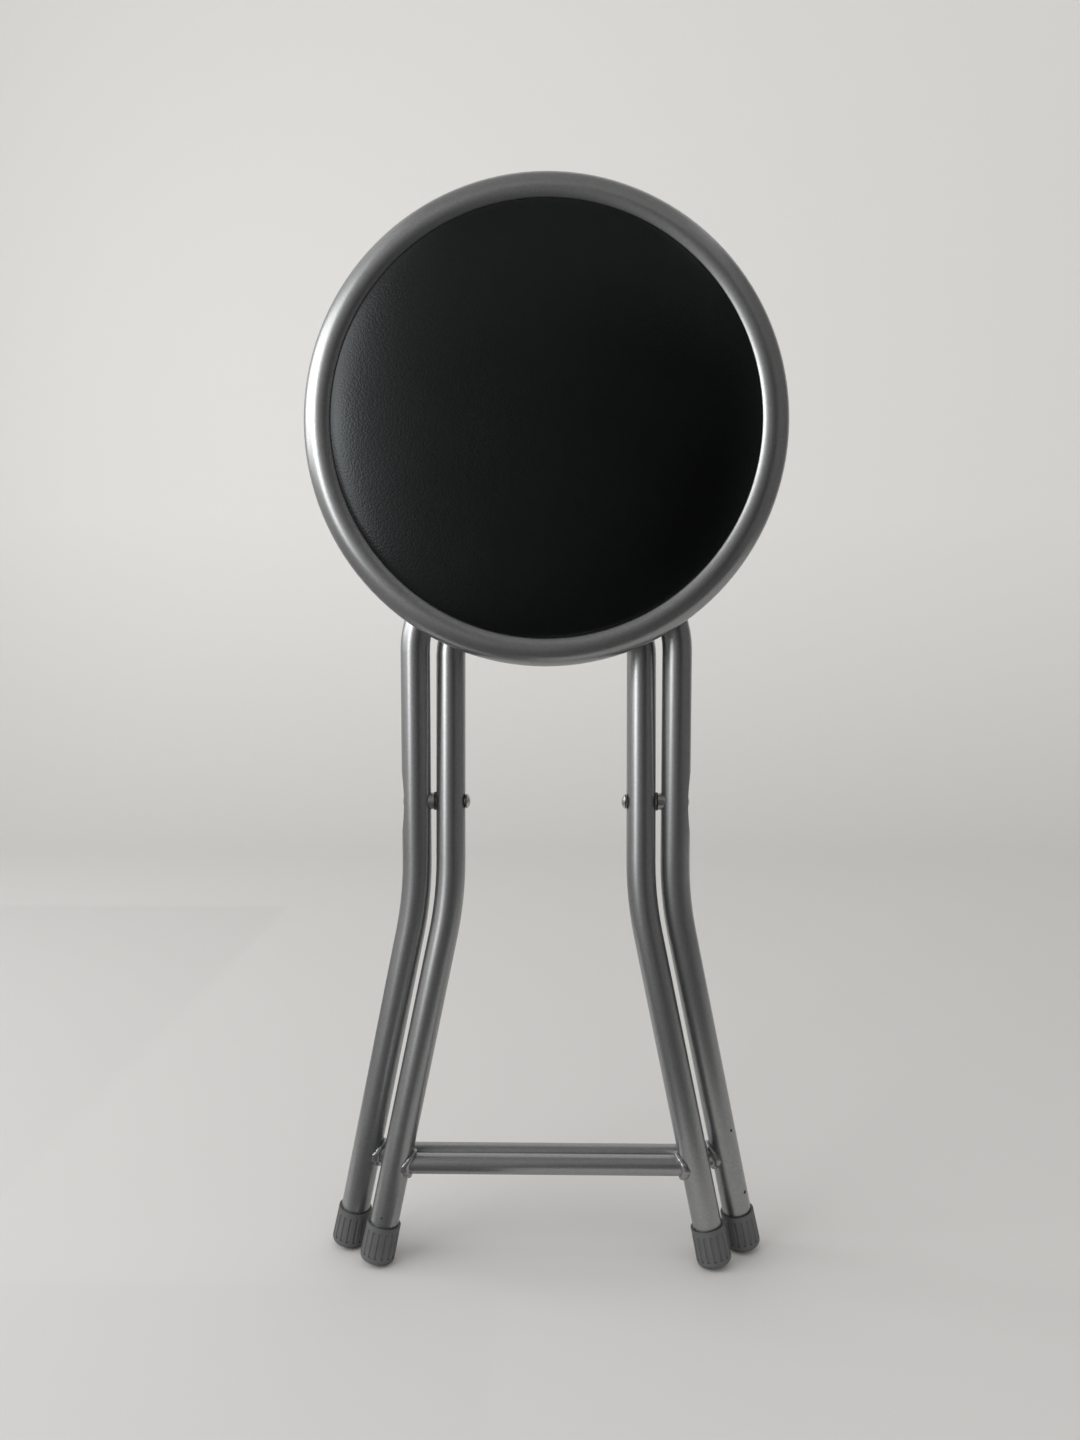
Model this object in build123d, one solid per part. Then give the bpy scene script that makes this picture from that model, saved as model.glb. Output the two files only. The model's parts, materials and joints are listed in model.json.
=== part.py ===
from build123d import *
import math
import os

# Round padded folding stool, folded and standing on its four feet.
# X runs to the right, Y to the back and Z up. The padded side of the seat faces -Y.
# Lengths are in millimetres and angles in degrees.

# Leg frames
leg_diameter = 19.0
leg_wall = 1.2
outer_leg_spacing = 168.8
leg_gap = 3.4
outer_top_height = 158.0
outer_bend_radius = 60.0
top_bar_gap = 4.0
inner_bend_radius = 40.0
flare_drop = 63.0
flare_angle = 11.6
flare_bend_radius = 240.0
sole_drop = 300.5
open_half_angle = 26.0

# Crossbars and their welds
crossbar_rise = 62.5
crossbar_diameter = 13.0
crossbar_wall = 1.0
weld_size = 2.2
fold_clearance = 0.3

# Foot caps
cap_length = 25.0
cap_wall = 1.5
cap_swell = 0.4
cap_sole_thickness = 4.0
cap_rounding = 3.6
cap_fit = 0.05
flute_count = 16
flute_radius = 1.3
flute_depth = 0.5
flute_rim = 3.5
flute_foot = 5.0

# Pivot
rivet_diameter = 6.0
rivet_head_diameter = 10.2
rivet_head_height = 2.2
rivet_tail_diameter = 9.0
rivet_tail_height = 1.4
rivet_fit = 0.05
washer_clearance = 0.3
head_washer_diameter = 9.0
head_washer_thickness = 0.8
gap_washer_diameter = 12.0
gap_washer_thickness = 0.8
spacer_diameter = 11.0
dent_depth = 2.0
dent_length = 42.0

# Seat ring and rails
ring_radius = 138.0
ring_tube_diameter = 22.0
ring_wall = 1.0
ring_vent_diameter = 5.0
ring_leg_clearance = 0.5
hinge_inset = 58.6
rail_spacing = 32.0
rail_width = 12.0
rail_thickness = 3.5
rail_clearance = 0.3
rail_end_inset = 5.0

# Pad
board_thickness = 6.0
cover_thickness = 0.8
cover_fold = 15.0
cover_notch_clearance = 0.3
pad_clearance = 0.3
pad_dome = 3.3
pad_edge_inset = 5.8
pad_edge_rounding = 7.0
staple_count = 18
staple_length = 10.0
staple_wire = 1.0
staple_leg_length = 4.0
staple_inset = 7.0

# Hinge saddles and catches
saddle_fit = 0.05
saddle_thickness = 2.0
saddle_flange = 12.0
saddle_rivet_diameter = 4.0
saddle_rivet_head_diameter = 7.0
saddle_rivet_head_height = 2.0
catch_clearance = 0.3
catch_wall = 5.0
catch_lip = 6.0
catch_nose = 2.5
catch_lead_in = 12.0
catch_flange = 11.0
catch_flange_thickness = 3.5
screw_diameter = 4.0
screw_head_diameter = 8.0
screw_head_height = 2.4
screw_bite = 5.0
screw_hole_clearance = 0.2

# Sizes that follow from the ones above
leg_radius = leg_diameter / 2
bar_radius = crossbar_diameter / 2
ring_tube_radius = ring_tube_diameter / 2
outer_half_spacing = outer_leg_spacing / 2
inner_half_spacing = outer_half_spacing - leg_diameter - leg_gap
inner_top_height = outer_top_height - leg_diameter - top_bar_gap
crossbar_drop = sole_drop - crossbar_rise
folded_angle = math.degrees(math.asin((leg_radius + bar_radius + fold_clearance) / crossbar_drop))
hinge_drop = ring_tube_radius + leg_radius + ring_leg_clearance
hinge_setback = ring_radius - hinge_inset
rail_length = 2 * (math.sqrt(ring_radius**2 - (rail_spacing / 2) ** 2) - rail_end_inset)
rail_under = leg_radius + rail_clearance - hinge_drop
board_under = rail_under + rail_thickness
board_top = board_under + board_thickness
flare_tangent = math.tan(math.radians(flare_angle))
flare_sine = math.sin(math.radians(flare_angle))
flare_cosine = math.cos(math.radians(flare_angle))
cap_sole_radius = leg_radius + cap_fit + cap_wall + cap_swell - cap_rounding
sides = {"left": -1, "right": 1}

# The inner legs are longer by what the fold lifts their soles
folded_cosine = math.cos(math.radians(folded_angle))
sole_tilt = math.sqrt(1 - (flare_cosine * folded_cosine) ** 2)
rounding_height = cap_rounding * flare_cosine
sole_height_lost = cap_sole_radius * (flare_sine - sole_tilt)
inner_sole_drop = rounding_height + (sole_drop - rounding_height + sole_height_lost) / folded_cosine

# Place of the inner top bar under the open seat, from the hinge, and the way it comes in
open_rise = math.cos(math.radians(open_half_angle))
open_reach = math.sin(math.radians(open_half_angle))
catch_setback = (outer_top_height + inner_top_height) * open_reach
catch_drop = (outer_top_height - inner_top_height) * open_rise
seat_turn = 90 + open_half_angle
leg_turn = 2 * open_half_angle - folded_angle
fold_ratio = seat_turn / leg_turn
inward_speed = (outer_top_height * fold_ratio - inner_top_height * (fold_ratio - 1)) * open_rise
upward_speed = (outer_top_height * fold_ratio + inner_top_height * (fold_ratio - 1)) * open_reach
catch_lean = math.degrees(math.atan2(inward_speed, upward_speed))


def along_x(shape):
    """Turns a shape built along Z so that it runs along X."""
    return Rot(0, 90, 0) * shape


def dome(diameter, height):
    """Rounded head that stands on the XY plane."""
    radius = diameter / 2
    ball = (radius**2 + height**2) / (2 * height)
    return split(Pos(0, 0, height - ball) * Sphere(ball), bisect_by=Plane.XY, keep=Keep.TOP)


def leg_x(half_spacing, drop):
    """Distance of a flared leg's axis from the middle, at a drop below the pivot."""
    return half_spacing + (drop - flare_drop) * flare_tangent


def flared_plane(half_spacing, drop, side):
    """Plane across a flared leg, with its normal running down the leg."""
    origin = (side * leg_x(half_spacing, drop), 0, -drop)
    down = (side * flare_sine, 0, -flare_cosine)
    return Plane(origin=origin, x_dir=(flare_cosine, 0, side * flare_sine), z_dir=down)


def frame_path(half_spacing, top_height, bend_radius, sole):
    """Centre line of a bent leg frame, from foot to foot, with the pivot at the origin."""
    end_drop = sole - cap_sole_thickness * flare_cosine
    foot = leg_x(half_spacing, end_drop)
    right = [(half_spacing, 0, top_height), (half_spacing, 0, -flare_drop), (foot, 0, -end_drop)]
    left = [(-x, y, z) for x, y, z in reversed(right)]
    radii = [flare_bend_radius, bend_radius, bend_radius, flare_bend_radius]
    return FilletPolyline(*left, *right, radius=radii)


def swept_rod(path, radius):
    """Round rod along a path."""
    return sweep(Plane(origin=path @ 0, z_dir=path % 0) * Circle(radius), path=path)


def leg_frame(half_spacing, top_height, bend_radius, sole, hole_diameter, dented):
    """Bent tube with pivot holes, and pressed dents outside them on the outer frame."""
    path = frame_path(half_spacing, top_height, bend_radius, sole)
    outside = swept_rod(path, leg_radius)
    bore = swept_rod(path, leg_radius - leg_wall)
    if dented:
        press = ((dent_length / 2) ** 2 + dent_depth**2) / (2 * dent_depth)
        for side in sides.values():
            centre = side * (half_spacing + leg_radius - dent_depth + press)
            outside -= Pos(centre, 0, 0) * Rot(90, 0, 0) * Cylinder(press, leg_diameter)
            bore -= Pos(centre, 0, 0) * Rot(90, 0, 0) * Cylinder(press + leg_wall, leg_diameter)
    tube = outside - bore
    for side in sides.values():
        tube -= Pos(side * half_spacing, 0, 0) * along_x(Cylinder(hole_diameter / 2, 2 * leg_diameter))
    return tube


def leg_rod(half_spacing, side, radius):
    """Straight stretch of a flared leg beside its crossbar, as a rod."""
    return flared_plane(half_spacing, crossbar_drop, side) * Cylinder(radius, 2 * leg_diameter)


def crossbar(half_spacing):
    """Tube between the legs, with its ends shaped to sit on them."""
    length = 2 * leg_x(half_spacing, crossbar_drop)
    bar = Cylinder(bar_radius, length) - Cylinder(bar_radius - crossbar_wall, length)
    bar = Pos(0, 0, -crossbar_drop) * along_x(bar)
    for side in sides.values():
        bar -= leg_rod(half_spacing, side, leg_radius)
    return bar


def weld_beads(half_spacing):
    """Collar of weld at each end of a crossbar."""
    beads = []
    for side in sides.values():
        reach = 2 * leg_diameter
        middle = side * (leg_x(half_spacing, crossbar_drop) - reach / 2)
        collar = Pos(middle, 0, -crossbar_drop) * along_x(Cylinder(bar_radius + weld_size, reach))
        bar = Pos(middle, 0, -crossbar_drop) * along_x(Cylinder(bar_radius, reach))
        bead = collar & leg_rod(half_spacing, side, leg_radius + weld_size)
        beads.append(bead - bar - leg_rod(half_spacing, side, leg_radius))
    return beads


def foot_cap():
    """Ribbed boot for the end of a leg, standing on its sole."""
    bore = leg_radius + cap_fit
    rim = bore + cap_wall
    foot = rim + cap_swell
    body = Pos(0, 0, cap_length / 2) * Cone(foot, rim, cap_length)
    body = fillet(body.edges().group_by(Axis.Z)[0], cap_rounding)
    body -= Pos(0, 0, cap_sole_thickness + cap_length / 2) * Cylinder(bore, cap_length)
    flute_length = cap_length - flute_rim - flute_foot
    centre = (rim + foot) / 2 + flute_radius - flute_depth
    lean = math.degrees(math.atan(cap_swell / cap_length))
    flute = Rot(0, -lean, 0) * Cylinder(flute_radius, flute_length)
    flute = Pos(centre, 0, flute_foot + flute_length / 2) * flute
    return body - [Rot(0, 0, 360 * turn / flute_count) * flute for turn in range(flute_count)]


def placed_cap(cap, half_spacing, sole, side):
    """A foot cap pushed over the end of a leg."""
    across = flared_plane(half_spacing, sole, side)
    return Plane(origin=across.origin, x_dir=across.x_dir, z_dir=-across.z_dir) * cap


inner_face = inner_half_spacing - leg_radius
head_washer_face = inner_face - washer_clearance
head_face = head_washer_face - head_washer_thickness
gap_washer_face = inner_half_spacing + leg_radius + washer_clearance
spacer_face = gap_washer_face + gap_washer_thickness
tail_face = outer_half_spacing + leg_radius - dent_depth


def ring_washer(diameter, thickness, face, side):
    """Flat washer round the rivet, from a face outwards."""
    washer = Cylinder(diameter / 2, thickness) - Cylinder(rivet_diameter / 2 + rivet_fit, thickness)
    return Pos(side * (face + thickness / 2), 0, 0) * along_x(washer)


def pivot_rivet(side, outer_tube):
    """Rivet with a domed head inside the inner leg and its tail in the outer leg's dent."""
    shank_length = tail_face - head_face
    shank = Pos(head_face + shank_length / 2, 0, 0) * along_x(Cylinder(rivet_diameter / 2, shank_length))
    head = Pos(head_face, 0, 0) * Rot(0, -90, 0) * dome(rivet_head_diameter, rivet_head_height)
    tail = Pos(tail_face, 0, 0) * along_x(dome(rivet_tail_diameter, rivet_tail_height))
    rivet = shank + head + tail
    if side < 0:
        rivet = mirror(rivet, about=Plane.YZ)
    return rivet - outer_tube


def pivot_spacer(side):
    """Barrel between the legs, hollowed at one end to sit on the outer leg."""
    length = outer_half_spacing - spacer_face
    barrel = Cylinder(spacer_diameter / 2, length) - Cylinder(rivet_diameter / 2 + rivet_fit, length)
    barrel = Pos(side * (spacer_face + length / 2), 0, 0) * along_x(barrel)
    return barrel - Pos(side * outer_half_spacing, 0, 0) * Cylinder(leg_radius, 2 * leg_diameter)


def seat_ring():
    """Ring of tube, with a vent hole underneath at the back for welding."""
    ring = Torus(ring_radius, ring_tube_radius) - Torus(ring_radius, ring_tube_radius - ring_wall)
    return ring - Pos(0, ring_radius, -ring_tube_radius) * Cylinder(ring_vent_diameter / 2, ring_tube_radius)


def seat_rail(side):
    """Flat bar from front to back, with its ends against the underside of the ring."""
    rail_x = side * rail_spacing / 2
    rail = Pos(rail_x, 0, rail_under + rail_thickness / 2) * Box(rail_width, rail_length, rail_thickness)
    rail -= Torus(ring_radius, ring_tube_radius)
    for place in saddle_rivet_places():
        rail -= Pos(rail_x, place, rail_under) * Cylinder(saddle_rivet_diameter / 2, 2 * rail_thickness)
    for place in board_screw_places() + catch_screw_places():
        hole = screw_diameter / 2 + screw_hole_clearance
        rail -= Pos(rail_x, place, rail_under) * Cylinder(hole, 2 * rail_thickness)
    return rail


def saddle_rivet_places():
    """Distances of the saddle rivets from the seat's middle."""
    reach = leg_radius + saddle_fit + saddle_thickness + saddle_flange / 2
    return (-hinge_setback - reach, -hinge_setback + reach)


def catch_places():
    """Front and back of the catch's block, from the seat's middle."""
    bar_place = catch_setback - hinge_setback
    front = bar_place - leg_radius - catch_clearance - catch_nose
    back = bar_place + leg_radius + catch_clearance + catch_wall
    return (front, back)


def catch_screw_places():
    """Distances of the catch screws from the seat's middle."""
    front, back = catch_places()
    return (front - catch_flange / 2, back + catch_flange / 2)


def board_screw_places():
    """Distances of the board screws from the seat's middle, halfway between the fittings on a rail."""
    saddle_end = leg_radius + saddle_fit + saddle_thickness + saddle_flange - hinge_setback
    front, back = catch_places()
    return ((saddle_end + front - catch_flange) / 2, (back + catch_flange + rail_length / 2) / 2)


def pad_section(inset, bottom):
    """Half outline of the pad: crown, rounded edge, hollow that clears the ring, straight side."""
    edge = pad_edge_rounding - inset
    hollow = ring_tube_radius + pad_clearance + inset
    edge_r = ring_radius - pad_edge_inset - pad_edge_rounding
    edge_z = math.sqrt((ring_tube_radius + pad_clearance) ** 2 - pad_edge_inset**2)
    rise = pad_edge_rounding + pad_dome
    crown = (edge_r**2 + rise**2 - pad_edge_rounding**2) / (2 * pad_dome)
    crown_z = edge_z + rise - crown
    tilt = math.atan2(edge_r, edge_z - crown_z)
    crown -= inset
    seam_gap = math.hypot(ring_radius - edge_r, edge_z)
    seam_turn = math.acos((edge**2 + seam_gap**2 - hollow**2) / (2 * edge * seam_gap))
    seam_angle = seam_turn - math.atan2(edge_z, ring_radius - edge_r)
    seam = (edge_r + edge * math.cos(seam_angle), edge_z + edge * math.sin(seam_angle))
    edge_middle = (seam_angle + math.pi / 2 - tilt) / 2
    hollow_middle = (math.pi + math.atan2(seam[1], seam[0] - ring_radius)) / 2
    side = ring_radius - hollow
    shoulder = (crown * math.sin(tilt), crown_z + crown * math.cos(tilt))
    crown_point = (crown * math.sin(tilt / 2), crown_z + crown * math.cos(tilt / 2))
    edge_point = (edge_r + edge * math.cos(edge_middle), edge_z + edge * math.sin(edge_middle))
    hollow_point = (ring_radius + hollow * math.cos(hollow_middle), hollow * math.sin(hollow_middle))
    outline = [
        ThreePointArc((0, crown_z + crown), crown_point, shoulder),
        ThreePointArc(shoulder, edge_point, seam),
        ThreePointArc(seam, hollow_point, (side, 0)),
        Polyline((side, 0), (side, bottom), (0, bottom), (0, crown_z + crown)),
    ]
    return make_face(outline)


def pad_solid(inset, bottom):
    """Round pad made by turning its half outline about the middle of the seat."""
    return revolve(Plane.XZ * pad_section(inset, bottom), axis=Axis.Z)


board_radius = ring_radius - ring_tube_radius - pad_clearance - cover_thickness


def staple_places():
    """One frame for each staple round the cover's folded edge."""
    radius = board_radius - staple_inset
    return [Rot(0, 0, 360 * turn / staple_count) * Pos(0, radius, board_under - cover_thickness)
            for turn in range(staple_count)]


def staple():
    """Wire staple with its crown under the cover and its legs up in the board."""
    crown = Pos(0, 0, -staple_wire / 2) * Box(staple_length, staple_wire, staple_wire)
    for side in sides.values():
        leg_place = side * (staple_length - staple_wire) / 2
        length = staple_leg_length + cover_thickness
        crown += Pos(leg_place, 0, length / 2) * Box(staple_wire, staple_wire, length)
    return crown


def seat_board(staples):
    """Round board with pilot holes for its screws and the staples' holes."""
    board = Pos(0, 0, board_under + board_thickness / 2) * Cylinder(board_radius, board_thickness)
    for side in sides.values():
        for place in board_screw_places() + catch_screw_places():
            pilot = Cylinder(screw_diameter / 2, 2 * screw_bite)
            board -= Pos(side * rail_spacing / 2, place, board_under) * pilot
    return board - staples


def seat_cover(staples):
    """Leatherette skin over the foam, folded under the board and notched for the rails."""
    cover = pad_solid(0, board_under - cover_thickness) - pad_solid(cover_thickness, board_under)
    cover -= Pos(0, 0, board_under) * Cylinder(board_radius - cover_fold, 2 * cover_thickness + cover_fold)
    notch_width = rail_width + 2 * cover_notch_clearance
    for side in sides.values():
        notch = Box(notch_width, 2 * ring_radius, 2 * rail_thickness)
        cover -= Pos(side * rail_spacing / 2, 0, board_under - rail_thickness) * notch
    return cover - staples


def hinge_saddle(side):
    """Strap that holds the outer frame's top bar under a rail."""
    inside = leg_radius + saddle_fit
    outside = inside + saddle_thickness
    rise = leg_radius + rail_clearance
    strap = Circle(outside) + Pos(0, rise / 2) * Rectangle(2 * outside, rise)
    strap = strap & Pos(0, (rise - outside) / 2) * Rectangle(2 * outside, rise + outside)
    strap += Pos(0, rise - saddle_thickness / 2) * Rectangle(2 * (outside + saddle_flange), saddle_thickness)
    strap -= Circle(inside) + Pos(0, rise / 2) * Rectangle(2 * inside, rise)
    strap = extrude(Plane.YZ * strap, amount=rail_width / 2, both=True)
    saddle = Pos(side * rail_spacing / 2, -hinge_setback, -hinge_drop) * strap
    for place in saddle_rivet_places():
        hole = Cylinder(saddle_rivet_diameter / 2, 4 * saddle_thickness)
        saddle -= Pos(side * rail_spacing / 2, place, rail_under) * hole
    return saddle


def saddle_rivets():
    """Rivets through the saddle flanges and the rails, flush with the top of the rail."""
    grip = saddle_thickness + rail_thickness
    shank = Pos(0, 0, grip / 2) * Cylinder(saddle_rivet_diameter / 2, grip)
    rivet = shank + Rot(180, 0, 0) * dome(saddle_rivet_head_diameter, saddle_rivet_head_height)
    places = [(side * rail_spacing / 2, place) for side in sides.values() for place in saddle_rivet_places()]
    return [Pos(x, y, rail_under - saddle_thickness) * rivet for x, y in places]


def catch(side):
    """Cradle under a rail that takes the inner frame's top bar when the stool is open."""
    front, back = catch_places()
    bar_place = catch_setback - hinge_setback
    bar_level = -hinge_drop - catch_drop
    bottom = bar_level - catch_lip
    cradle = leg_radius + catch_clearance
    block = Pos((front + back) / 2, (rail_under + bottom) / 2) * Rectangle(back - front, rail_under - bottom)
    flange_width = back - front + 2 * catch_flange
    flange_level = rail_under - catch_flange_thickness / 2
    block += Pos((front + back) / 2, flange_level) * Rectangle(flange_width, catch_flange_thickness)
    mouth = Pos(0, -leg_diameter) * Rectangle(2 * cradle, 2 * leg_diameter)
    for lean in (catch_lean, catch_lean + catch_lead_in):
        block -= Pos(bar_place, bar_level) * Rot(0, 0, -lean) * mouth
    block -= Pos(bar_place, bar_level) * Circle(cradle)
    hook = Pos(side * rail_spacing / 2, 0, 0) * extrude(Plane.YZ * block, amount=rail_width / 2, both=True)
    for place in catch_screw_places():
        hole = Cylinder(screw_diameter / 2 + screw_hole_clearance, 4 * catch_flange_thickness)
        hook -= Pos(side * rail_spacing / 2, place, rail_under) * hole
    return hook


def pan_screw(grip):
    """Pan-head screw pointing up, with its head under the XY plane."""
    length = grip + screw_bite
    head = Pos(0, 0, -screw_head_height / 2) * Cylinder(screw_head_diameter / 2, screw_head_height)
    head = fillet(head.edges().group_by(Axis.Z)[0], screw_head_height / 2)
    return head + Pos(0, 0, length / 2) * Cylinder(screw_diameter / 2, length)


def screws(places, head_level):
    """Screws through both rails into the board, with their heads at a level."""
    screw = pan_screw(board_under - head_level)
    spots = [(side * rail_spacing / 2, place) for side in sides.values() for place in places]
    return [Pos(x, y, head_level) * screw for x, y in spots]


def seat_nodes():
    """Every piece of the seat, with the ring's middle at the origin and the pad upwards."""
    staples = [place * staple() for place in staple_places()]
    nodes = {
        "seat_ring": seat_ring(),
        "seat_board": seat_board(staples),
        "seat_foam": pad_solid(cover_thickness, board_top),
        "seat_cover": seat_cover(staples),
        "cover_staples": staples,
        "board_screws": screws(board_screw_places(), rail_under),
        "saddle_rivets": saddle_rivets(),
        "catch_screws": screws(catch_screw_places(), rail_under - catch_flange_thickness),
    }
    for name, side in sides.items():
        nodes[f"seat_rail_{name}"] = seat_rail(side)
        nodes[f"hinge_saddle_{name}"] = hinge_saddle(side)
        nodes[f"catch_{name}"] = catch(side)
    return nodes


def outer_nodes(cap):
    """Every piece that stays with the outer frame, with the pivot at the origin."""
    tube = leg_frame(outer_half_spacing, outer_top_height, outer_bend_radius, sole_drop, rivet_diameter, True)
    nodes = {
        "outer_leg_tube": tube,
        "outer_crossbar": crossbar(outer_half_spacing),
        "outer_weld_beads": weld_beads(outer_half_spacing),
        "head_washers": [],
        "gap_washers": [],
    }
    for name, side in sides.items():
        nodes[f"outer_foot_{name}"] = placed_cap(cap, outer_half_spacing, sole_drop, side)
        nodes[f"pivot_rivet_{name}"] = pivot_rivet(side, tube)
        nodes[f"pivot_spacer_{name}"] = pivot_spacer(side)
        head_washer = ring_washer(head_washer_diameter, head_washer_thickness, head_face, side)
        gap_washer = ring_washer(gap_washer_diameter, gap_washer_thickness, gap_washer_face, side)
        nodes["head_washers"].append(head_washer)
        nodes["gap_washers"].append(gap_washer)
    return nodes


def inner_nodes(cap):
    """Every piece of the inner frame, in line with the outer frame."""
    hole = rivet_diameter + 2 * rivet_fit
    nodes = {
        "inner_leg_tube": leg_frame(inner_half_spacing, inner_top_height, inner_bend_radius,
                                    inner_sole_drop, hole, False),
        "inner_crossbar": crossbar(inner_half_spacing),
        "inner_weld_beads": weld_beads(inner_half_spacing),
    }
    for name, side in sides.items():
        nodes[f"inner_foot_{name}"] = placed_cap(cap, inner_half_spacing, inner_sole_drop, side)
    return nodes


def as_list(pieces):
    """The solids of a node, as a list."""
    return pieces if isinstance(pieces, list) else [pieces]


seat_place = Pos(0, -hinge_drop, outer_top_height + hinge_setback) * Rot(90, 0, 0)
inner_place = Rot(-folded_angle, 0, 0)
cap = foot_cap()
nodes = {}
for name, pieces in outer_nodes(cap).items():
    nodes[name] = as_list(pieces)
for name, pieces in inner_nodes(cap).items():
    nodes[name] = [inner_place * piece for piece in as_list(pieces)]
for name, pieces in seat_nodes().items():
    nodes[name] = [seat_place * piece for piece in as_list(pieces)]

# The origin lies on the floor, under the middle of the folded stool
stool_box = Compound([solid for pieces in nodes.values() for solid in pieces]).bounding_box()
stand = Pos(0, -stool_box.center().Y, -stool_box.min.Z)

os.makedirs("parts", exist_ok=True)
for name, pieces in nodes.items():
    export_step(Compound([stand * piece for piece in pieces]), f"parts/{name}.step")
print(len(nodes), "nodes, folded size", stool_box.size)
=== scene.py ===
# %% [markdown]
# # A folding stool in a small studio
# The stool stands folded on its four feet: a round padded seat in a steel ring, and two bent tube frames.
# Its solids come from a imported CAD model, in metres, with the floor at z = 0 and the pad facing -Y.
# This lesson leaves those solids where they are, and gives them a pad, gathered cloth, welds, finishes
# and light.

# %% Load the stool
import json
import math
import random

import bmesh
import bpy
from mathutils import Matrix, Vector, noise


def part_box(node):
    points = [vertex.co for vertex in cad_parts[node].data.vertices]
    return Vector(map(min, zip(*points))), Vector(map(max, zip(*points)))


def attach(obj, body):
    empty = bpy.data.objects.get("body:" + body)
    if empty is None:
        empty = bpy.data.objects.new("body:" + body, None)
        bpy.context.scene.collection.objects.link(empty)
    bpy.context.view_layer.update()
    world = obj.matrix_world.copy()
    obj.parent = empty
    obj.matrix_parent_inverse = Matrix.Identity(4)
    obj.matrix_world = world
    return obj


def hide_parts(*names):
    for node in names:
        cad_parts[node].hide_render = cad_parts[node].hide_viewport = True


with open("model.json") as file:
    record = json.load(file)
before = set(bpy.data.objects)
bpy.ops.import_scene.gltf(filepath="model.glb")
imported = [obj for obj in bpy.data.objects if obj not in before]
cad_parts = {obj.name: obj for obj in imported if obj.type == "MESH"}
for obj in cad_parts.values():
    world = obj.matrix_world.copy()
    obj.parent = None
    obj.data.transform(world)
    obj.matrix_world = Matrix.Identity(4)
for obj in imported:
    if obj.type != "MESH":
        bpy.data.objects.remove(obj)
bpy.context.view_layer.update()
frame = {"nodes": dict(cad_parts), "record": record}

# %% [markdown]
# ## The camera
# The portrait is taken from close by, with a moderately wide lens.
# The camera stands a little below the seat's middle and looks down a few degrees.
# Its place, turn and tilt were worked out from the edges of the tubes, the ring and the feet.

# %% Camera
LENS_MM = 26.87
LOOK_DOWN = 4.65
TURN_LEFT = 1.0

scene = bpy.context.scene
camera_data = bpy.data.cameras.new("portrait_camera")
camera_data.lens = LENS_MM
camera = bpy.data.objects.new("portrait_camera", camera_data)
camera.location = (0.0083, -0.6870, 0.4117)
camera.rotation_euler = (math.radians(90 - LOOK_DOWN), 0, math.radians(TURN_LEFT))
scene.collection.objects.link(camera)
scene.camera = camera
print("camera at", [round(v, 3) for v in camera.location])

# %% [markdown]
# ## Helpers for finishes
# Designers name colours as sRGB hex values, and Blender's sockets take linear light, so one function
# turns them. Every finish is a handful of nodes, so one function adds a node, sets it and links it.
# Patterns are written in millimetres: a texture's scale is the number of cells in a metre.

# %% Colour and node helpers
MM = 0.001


def linear(hex_colour):
    """An sRGB hex colour as the linear colour that a socket takes."""
    shares = [int(hex_colour[place:place + 2], 16) / 255 for place in (1, 3, 5)]
    return tuple(s / 12.92 if s <= 0.04045 else ((s + 0.055) / 1.055) ** 2.4 for s in shares) + (1.0,)


def add_node(tree, kind, inputs=None, **settings):
    """Adds a node with its settings. An input is a value, or the socket that feeds it."""
    made = tree.nodes.new(kind)
    for name, value in settings.items():
        setattr(made, name, value)
    for socket, value in (inputs or {}).items():
        if isinstance(value, bpy.types.NodeSocket):
            tree.links.new(value, made.inputs[socket])
        else:
            made.inputs[socket].default_value = value
    return made


def cells(size_mm):
    """Texture scale that gives cells of a size in millimetres."""
    return 1000 / size_mm


def new_finish(name):
    """An empty material: its node tree, its main shader and the place of each point on the stool."""
    finish = bpy.data.materials.new(name)
    finish.use_nodes = True
    tree = finish.node_tree
    place = add_node(tree, "ShaderNodeTexCoord").outputs["Object"]
    return finish, tree, tree.nodes["Principled BSDF"], place


print("mid grey #808080 is", [round(v, 3) for v in linear("#808080")])

# %% [markdown]
# ## Silver lacquer on the tubes
# The tubes are steel, sprayed with a lacquer that holds aluminium flakes, and baked.
# Flakes make it behave like a satin metal: a bright band where the light is, dark where the room is dark.
# Under a lens the lacquer is slightly orange-peeled, the flakes twinkle, and small chips show dark steel.
# Flakes are about 0.05 mm, too fine to show, so they are drawn at 1.1 mm.

# %% Silver lacquer
# Each chip is a place on the stool in metres, and a radius in millimetres.
CHIPS = [
    ((0.1226, -0.0005, 0.0845), 1.3),
    ((0.1300, 0.0010, 0.0560), 1.0),
    ((0.1325, 0.0010, 0.0415), 1.4),
    ((-0.1062, -0.0205, 0.0330), 0.8),
]
CHIP_RAGGED = 1.6 * MM
CHIP_CORE = 0.7


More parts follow.
